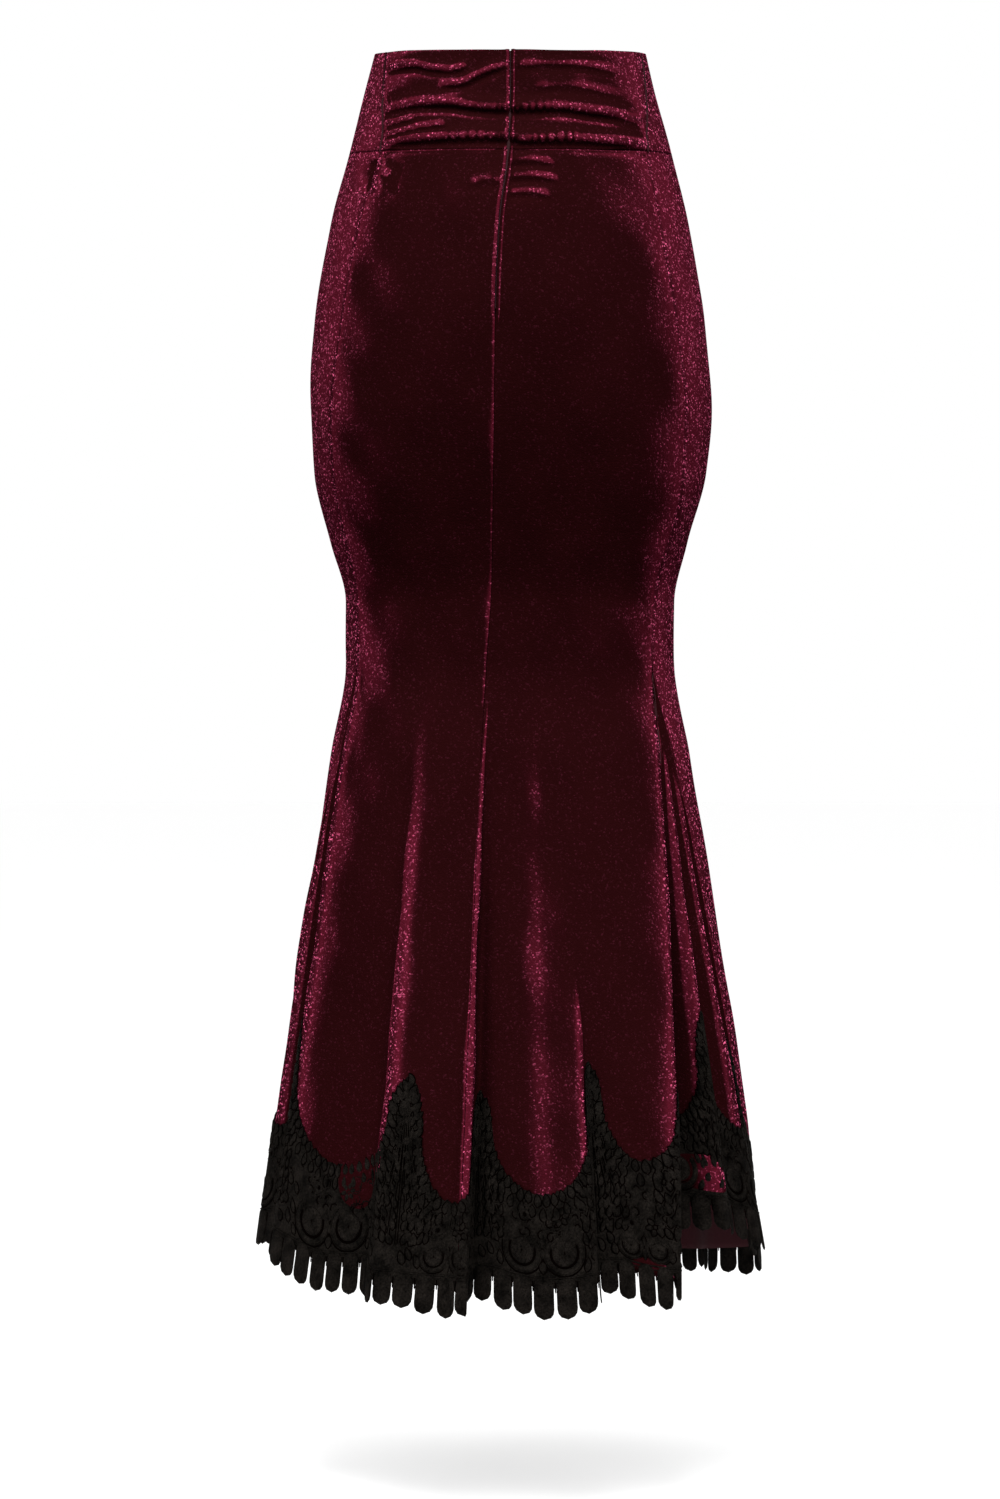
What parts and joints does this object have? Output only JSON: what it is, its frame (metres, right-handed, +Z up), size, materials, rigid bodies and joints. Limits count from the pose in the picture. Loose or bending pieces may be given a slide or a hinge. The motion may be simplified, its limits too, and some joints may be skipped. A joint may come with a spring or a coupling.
{
  "type": "mermaid fishtail skirt",
  "caption": "Floor-length mermaid skirt in wine velvet with a fitted yoke, side godets from the knee and a black lace border, in its worn form.",
  "frame": {"origin": "centre of the waist opening, level with its edge", "axes": "+Z up, the garment's back faces +Y and its front -Y, +X is the wearer's left"},
  "size_m": [0.4414, 0.4067, 1.0795],
  "materials": {
    "velvet": "wine red pebbled panne velvet with a crimson sheen at the edges of its folds",
    "lace": "black corded lace, matt",
    "zip": "wine velvet lips of a concealed zip"
  },
  "bodies": {
    "root": {"yoke_front": "velvet", "yoke_back_left": "velvet", "yoke_back_right": "velvet", "front_panel": "velvet", "back_panel_left": "velvet", "back_panel_right": "velvet", "godet_left": "velvet", "godet_right": "velvet", "centre_back_zip": "zip", "lace_front_panel": "lace", "lace_back_panel_left": "lace", "lace_back_panel_right": "lace", "lace_godet_left": "lace", "lace_godet_right": "lace"}
  },
  "joints": []
}
